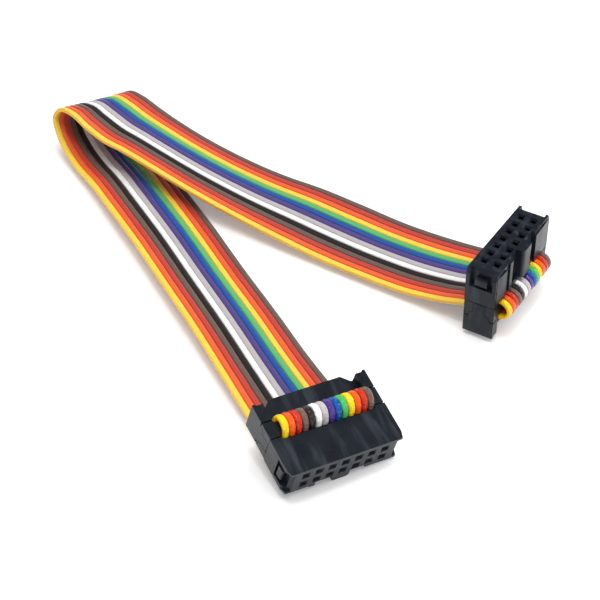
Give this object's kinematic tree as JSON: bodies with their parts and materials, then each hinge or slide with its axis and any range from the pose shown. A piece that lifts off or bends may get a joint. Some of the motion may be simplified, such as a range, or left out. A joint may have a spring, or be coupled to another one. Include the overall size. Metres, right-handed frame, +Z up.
{
  "type": "ribbon cable",
  "caption": "Flat rainbow ribbon cable folded back on itself, with a keyed two-row socket connector and strain relief on each end.",
  "frame": {"origin": "on the table, under the middle of the far connector, which stands on its strain relief", "axes": "+Z is up from the table and the far connector's mating direction; +Y points away from the picture's camera, along the near leg of the ribbon; +X is to the camera's right"},
  "size_m": [0.0991, 0.1159, 0.0156],
  "materials": {
    "housing": "satin moulded, bluish black",
    "contact": "plated phosphor bronze sheet",
    "insulation_brown": "soft vinyl, satin",
    "insulation_red": "soft vinyl, satin",
    "insulation_orange": "soft vinyl, satin",
    "insulation_yellow": "soft vinyl, satin",
    "insulation_green": "soft vinyl, satin",
    "insulation_blue": "soft vinyl, satin",
    "insulation_violet": "soft vinyl, satin",
    "insulation_grey": "soft vinyl, satin",
    "insulation_white": "soft vinyl, satin",
    "insulation_black": "soft vinyl, satin"
  },
  "bodies": {
    "root": {"near_socket": "housing", "near_cover": "housing", "near_strain_relief": "housing", "far_socket": "housing", "far_cover": "housing", "far_strain_relief": "housing", "wire_01_brown": "insulation_brown", "wire_02_red": "insulation_red", "wire_03_orange": "insulation_orange", "wire_04_yellow": "insulation_yellow", "wire_05_green": "insulation_green", "wire_06_blue": "insulation_blue", "wire_07_violet": "insulation_violet", "wire_08_grey": "insulation_grey", "wire_09_white": "insulation_white", "wire_10_black": "insulation_black", "wire_11_brown": "insulation_brown", "wire_12_red": "insulation_red", "wire_13_orange": "insulation_orange", "wire_14_yellow": "insulation_yellow", "near_contact_01": "contact", "near_contact_02": "contact", "near_contact_03": "contact", "near_contact_04": "contact", "near_contact_05": "contact", "near_contact_06": "contact", "near_contact_07": "contact", "near_contact_08": "contact", "near_contact_09": "contact", "near_contact_10": "contact", "near_contact_11": "contact", "near_contact_12": "contact", "near_contact_13": "contact", "near_contact_14": "contact", "far_contact_01": "contact", "far_contact_02": "contact", "far_contact_03": "contact", "far_contact_04": "contact", "far_contact_05": "contact", "far_contact_06": "contact", "far_contact_07": "contact", "far_contact_08": "contact", "far_contact_09": "contact", "far_contact_10": "contact", "far_contact_11": "contact", "far_contact_12": "contact", "far_contact_13": "contact", "far_contact_14": "contact"}
  },
  "joints": []
}
